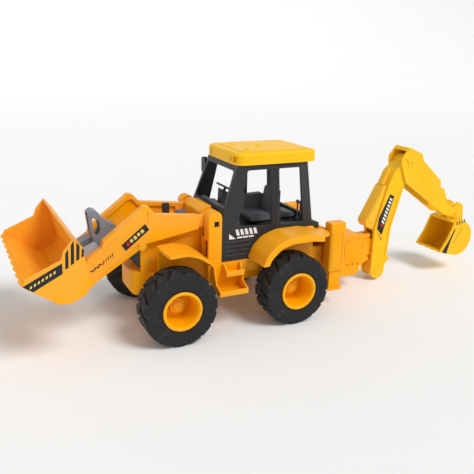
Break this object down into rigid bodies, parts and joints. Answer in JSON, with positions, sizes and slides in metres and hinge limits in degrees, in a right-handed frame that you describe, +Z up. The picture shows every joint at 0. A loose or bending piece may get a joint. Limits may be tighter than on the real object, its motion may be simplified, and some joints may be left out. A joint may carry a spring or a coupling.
{
  "type": "toy backhoe loader",
  "caption": "Moulded toy backhoe loader: front bucket on lifting arms with a finger tilt lever, cab, lugged tyres, sliding stabilisers and a swinging boom, dipper and digging bucket.",
  "frame": {"origin": "on the ground, below the middle of the bounding box", "axes": "+X towards the loader bucket, +Y to the driver's left, +Z up"},
  "size_m": [0.5603, 0.159, 0.174],
  "materials": {
    "yellow_plastic": "moulded, slightly glossy",
    "black_plastic": "moulded, satin",
    "grey_plastic": "moulded, satin",
    "dark_grey_plastic": "moulded, satin",
    "tyre_rubber": "soft, matt",
    "rim_plastic": "moulded, glossy",
    "steel": "plain drawn pin"
  },
  "bodies": {
    "chassis": {"air_cleaner": "black_plastic", "arm_pivot_pins": "steel", "arm_tower_left": "yellow_plastic", "arm_tower_right": "yellow_plastic", "backhoe_levers": "dark_grey_plastic", "cab_frame": "black_plastic", "cab_roof": "yellow_plastic", "carriage_screws": "steel", "chassis_frame": "yellow_plastic", "cowl_bridge": "yellow_plastic", "dashboard": "dark_grey_plastic", "driver_seat": "dark_grey_plastic", "exhaust_stack": "black_plastic", "front_fender_left": "yellow_plastic", "front_fender_right": "yellow_plastic", "front_grille": "black_plastic", "hood": "yellow_plastic", "nose_bumper": "yellow_plastic", "operator_seat": "dark_grey_plastic", "rear_fender_left": "yellow_plastic", "rear_fender_right": "yellow_plastic", "rear_frame": "yellow_plastic", "side_mirror": "black_plastic", "stabiliser_housing_left": "yellow_plastic", "stabiliser_housing_right": "yellow_plastic", "steering_column": "black_plastic", "step_left": "yellow_plastic", "step_right": "yellow_plastic", "swing_carriage": "yellow_plastic"},
    "steering_wheel": {"steering_wheel": "black_plastic"},
    "front_wheels": {"front_axle": "steel", "front_tyre_left": "tyre_rubber", "front_tyre_right": "tyre_rubber", "front_rim_left": "rim_plastic", "front_rim_right": "rim_plastic"},
    "rear_wheels": {"rear_axle": "steel", "rear_tyre_left": "tyre_rubber", "rear_tyre_right": "tyre_rubber", "rear_rim_left": "rim_plastic", "rear_rim_right": "rim_plastic"},
    "loader_arms": {"loader_arm_left": "yellow_plastic", "loader_arm_right": "yellow_plastic", "arm_cross_tube": "steel"},
    "bucket": {"bucket": "yellow_plastic", "bucket_coupler": "grey_plastic", "bucket_pins": "steel"},
    "tilt_lever": {"tilt_lever": "grey_plastic"},
    "tilt_link": {"tilt_link": "grey_plastic"},
    "swing_post": {"swing_post": "yellow_plastic"},
    "boom": {"boom": "yellow_plastic", "boom_foot_pin": "steel", "boom_ram": "yellow_plastic", "boom_ram_rod": "yellow_plastic", "dipper_pin": "steel"},
    "dipper": {"dipper": "yellow_plastic"},
    "rear_bucket": {"rear_bucket": "yellow_plastic", "rear_bucket_pin": "steel"},
    "leg_left": {"stabiliser_leg_left": "yellow_plastic"},
    "leg_right": {"stabiliser_leg_right": "yellow_plastic"}
  },
  "joints": [
    {"name": "front_wheels_spin", "type": "hinge", "parent": "chassis", "child": "front_wheels", "pos_m": [0.141, 0, 0.0365], "axis": [0, 1, 0], "continuous": true},
    {"name": "rear_wheels_spin", "type": "hinge", "parent": "chassis", "child": "rear_wheels", "pos_m": [0.016, 0, 0.0365], "axis": [0, 1, 0], "continuous": true},
    {"name": "steering_wheel_spin", "type": "hinge", "parent": "chassis", "child": "steering_wheel", "pos_m": [0.063, 0, 0.131], "axis": [-0.4695, 0, 0.8829], "continuous": true},
    {"name": "arm_lift", "type": "hinge", "parent": "chassis", "child": "loader_arms", "pos_m": [0.093, 0, 0.106], "axis": [0, -1, 0], "range_deg": [-20, 35]},
    {"name": "bucket_tilt", "type": "hinge", "parent": "loader_arms", "child": "bucket", "pos_m": [0.215, 0, 0.061], "axis": [0, -1, 0], "range_deg": [-75, 5]},
    {"name": "lever_swing", "type": "hinge", "parent": "loader_arms", "child": "tilt_lever", "pos_m": [0.194, 0, 0.084], "axis": [0, -1, 0], "range_deg": [-75, 5]},
    {"name": "link_swing", "type": "hinge", "parent": "tilt_lever", "child": "tilt_link", "pos_m": [0.187, 0, 0.103], "axis": [0, -1, 0], "range_deg": [-5, 75]},
    {"name": "boom_swing", "type": "hinge", "parent": "chassis", "child": "swing_post", "pos_m": [-0.124, 0, 0.0435], "axis": [0, 0, 1], "range_deg": [-60, 60]},
    {"name": "boom_lift", "type": "hinge", "parent": "swing_post", "child": "boom", "pos_m": [-0.141, 0, 0.0125], "axis": [0, 1, 0], "range_deg": [-40, 2]},
    {"name": "dipper_swing", "type": "hinge", "parent": "boom", "child": "dipper", "pos_m": [-0.1745, 0, 0.1445], "axis": [0, 1, 0], "range_deg": [-20, 70]},
    {"name": "rear_bucket_curl", "type": "hinge", "parent": "dipper", "child": "rear_bucket", "pos_m": [-0.257, 0, 0.074], "axis": [0, 1, 0], "range_deg": [-20, 60]},
    {"name": "leg_left_slide", "type": "slide", "parent": "chassis", "child": "leg_left", "axis": [0, 0, 1], "range_m": [-0.0155, 0.016]},
    {"name": "leg_right_slide", "type": "slide", "parent": "chassis", "child": "leg_right", "axis": [0, 0, 1], "range_m": [-0.0155, 0.016]}
  ],
  "couplings": [
    {"joint": "lever_swing", "follows": "bucket_tilt", "ratio": 1},
    {"joint": "link_swing", "follows": "bucket_tilt", "ratio": -1}
  ]
}
